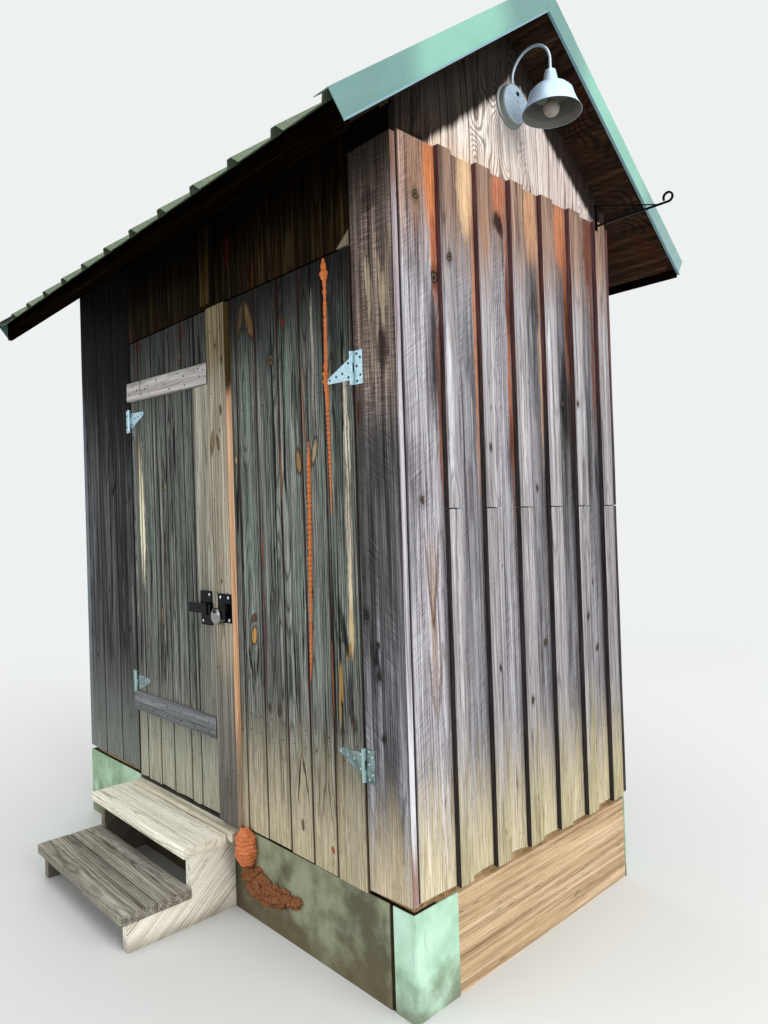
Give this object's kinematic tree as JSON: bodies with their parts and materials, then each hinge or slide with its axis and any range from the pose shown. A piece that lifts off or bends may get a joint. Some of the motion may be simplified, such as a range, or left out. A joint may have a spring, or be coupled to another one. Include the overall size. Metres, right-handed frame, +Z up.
{
  "type": "wooden outhouse",
  "caption": "Framed wooden outhouse with a ribbed metal gable roof, a pair of boarded doors, steps, and a lamp and hanger on its gable wall.",
  "frame": {"origin": "middle of the footprint of the four walls, on the ground", "axes": "+X to the right along the front wall as seen from outside, +Y to the rear, +Z up"},
  "size_m": [2.959, 2.1091, 3.3723],
  "materials": {
    "foundation": "bare timber, dirty tan",
    "skirt": "faded mint paint, dirty",
    "floor_ply": "bare plywood",
    "sill_wood": "weathered timber",
    "foam": "aged orange foam, rough",
    "new_wood": "light sawn timber",
    "tread_wood": "weathered dark grey",
    "framing": "bare sawn timber",
    "front_wood": "weathered dark grey boards",
    "corner_wood": "rough-sawn, weathered",
    "gable_wood": "weathered silver-brown boards",
    "batten_wood": "weathered silver-brown battens",
    "panel_ply": "weathered plywood",
    "roof_ply": "dark weathered plywood",
    "roof_metal": "sage green paint, satin",
    "trim_metal": "sage green paint, satin",
    "fascia_wood": "dark weathered boards",
    "left_door_wood": "weathered grey boards",
    "ledge_wood": "pale weathered board",
    "stile_wood": "weathered grey board",
    "right_door_wood": "weathered greenish grey boards",
    "cover_wood": "weathered tan board",
    "zinc": "zinc plated, dulled",
    "black_iron": "black paint, satin",
    "lock_steel": "polished, scuffed",
    "lamp_zinc": "galvanised, satin",
    "bulb_glass": "frosted warm grey"
  },
  "bodies": {
    "shed": {"foundation_frame": "foundation", "skirt_panels": "skirt", "floor_deck": "floor_ply", "door_sill": "sill_wood", "foam_filler": "foam", "step_stringers": "new_wood", "step_treads": "tread_wood", "wall_plates": "framing", "wall_frame": "framing", "rafters": "framing", "ridge_board": "framing", "front_wall_left": "front_wood", "front_wall_header": "front_wood", "front_corner_board": "corner_wood", "right_wall_boards": "gable_wood", "right_wall_battens": "batten_wood", "left_wall_boards": "gable_wood", "left_wall_battens": "batten_wood", "rear_wall_boards": "gable_wood", "rear_wall_battens": "batten_wood", "gable_panels": "panel_ply", "roof_deck": "roof_ply", "roof_purlins": "roof_ply", "roof_sheets": "roof_metal", "ridge_cap": "trim_metal", "rake_trims": "trim_metal", "eave_fascias": "fascia_wood", "hinge_leaves": "zinc", "lamp_base": "lamp_zinc", "lamp_arm": "lamp_zinc", "lamp_shade": "lamp_zinc", "lamp_bulb": "bulb_glass", "hanger_bracket": "black_iron"},
    "left_door": {"left_door_boards": "left_door_wood", "left_door_ledges": "ledge_wood", "left_door_stile": "stile_wood", "left_door_straps": "zinc", "latch_bolt": "black_iron", "latch_plate": "black_iron"},
    "right_door": {"right_door_boards": "right_door_wood", "right_door_ledges": "framing", "door_cover_board": "cover_wood", "right_door_straps": "zinc", "latch_keeper": "black_iron", "padlock": "lock_steel"}
  },
  "joints": [
    {"name": "left_door_hinge", "type": "hinge", "parent": "shed", "child": "left_door", "pos_m": [-0.62, -0.64, 1.4], "axis": [0, 0, -1], "range_deg": [0, 135]},
    {"name": "right_door_hinge", "type": "hinge", "parent": "shed", "child": "right_door", "pos_m": [1.023, -0.64, 1.4], "axis": [0, 0, 1], "range_deg": [0, 150]}
  ]
}
